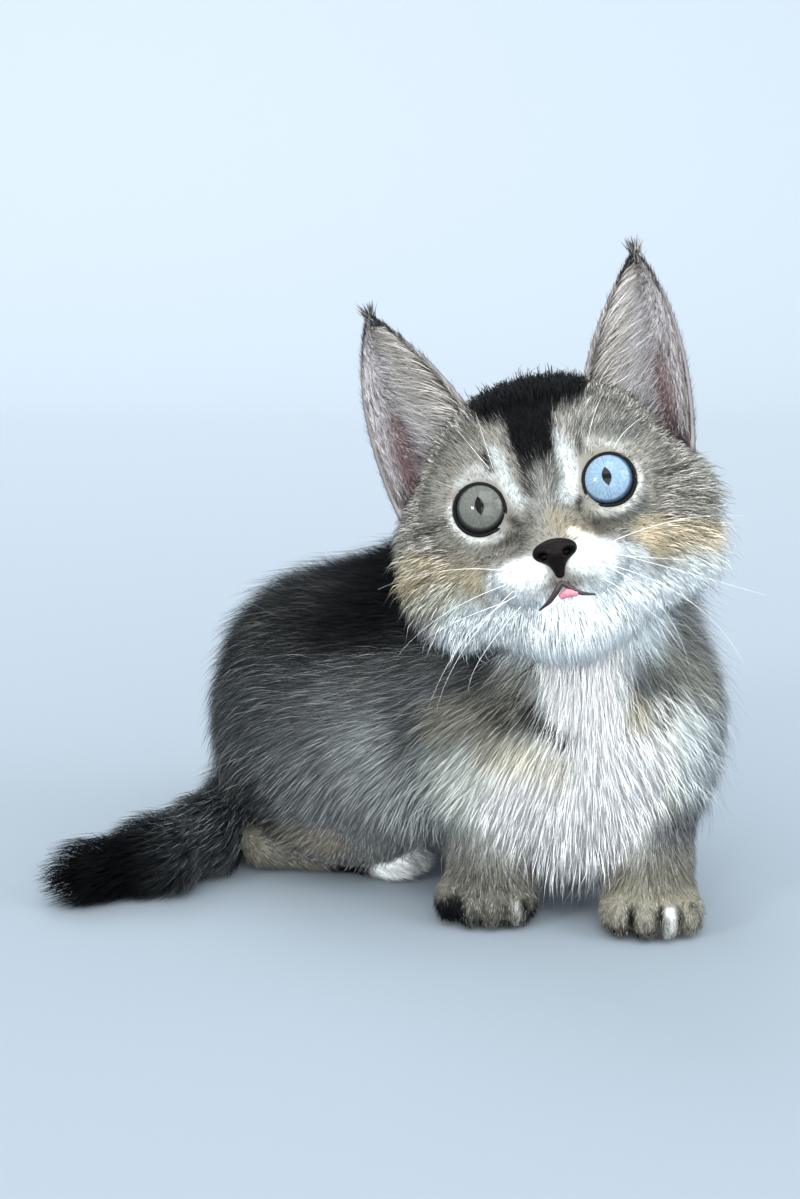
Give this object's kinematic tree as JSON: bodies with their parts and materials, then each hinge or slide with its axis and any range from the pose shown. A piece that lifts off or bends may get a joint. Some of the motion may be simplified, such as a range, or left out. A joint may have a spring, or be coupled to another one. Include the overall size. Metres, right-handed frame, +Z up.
{
  "type": "munchkin cat",
  "caption": "A short-legged munchkin kitten at life size, sitting with its head raised, hindquarters turned to one side and tail on the ground.",
  "frame": {"origin": "on the ground under the middle of the whole kitten's box", "axes": "+Z up, the chest and face towards -Y, the kitten's own left side towards +X"},
  "size_m": [0.1818, 0.1297, 0.171],
  "materials": {
    "face_fur": "short soft fur, grey-brown and white, ticked",
    "ear_fur": "thin ear with fine pale hair inside and short grey fur behind",
    "bib_fur": "soft white to cream fur with dark bars at the sides",
    "back_fur": "soft charcoal fur with pale ticking",
    "leg_fur": "short beige-grey ticked fur",
    "tail_tip_fur": "soft black fur",
    "nose_leather": "bare, finely grained, slightly moist",
    "eye_green": "wet eye, grey-green iris, slit pupil",
    "eye_blue": "wet eye, light blue iris, slit pupil"
  },
  "bodies": {
    "root": {"head": "face_fur", "nose": "nose_leather", "ear_right": "ear_fur", "ear_left": "ear_fur", "eye_right": "eye_green", "eye_left": "eye_blue", "neck": "bib_fur", "chest": "bib_fur", "hindquarters": "back_fur", "thigh_right": "back_fur", "thigh_left": "back_fur", "foreleg_right": "leg_fur", "foreleg_left": "leg_fur", "forepaw_right": "leg_fur", "forepaw_left": "leg_fur", "hindfoot_right": "leg_fur", "hindfoot_left": "leg_fur", "tail_base": "back_fur", "tail_middle": "back_fur", "tail_tip": "tail_tip_fur"}
  },
  "joints": []
}
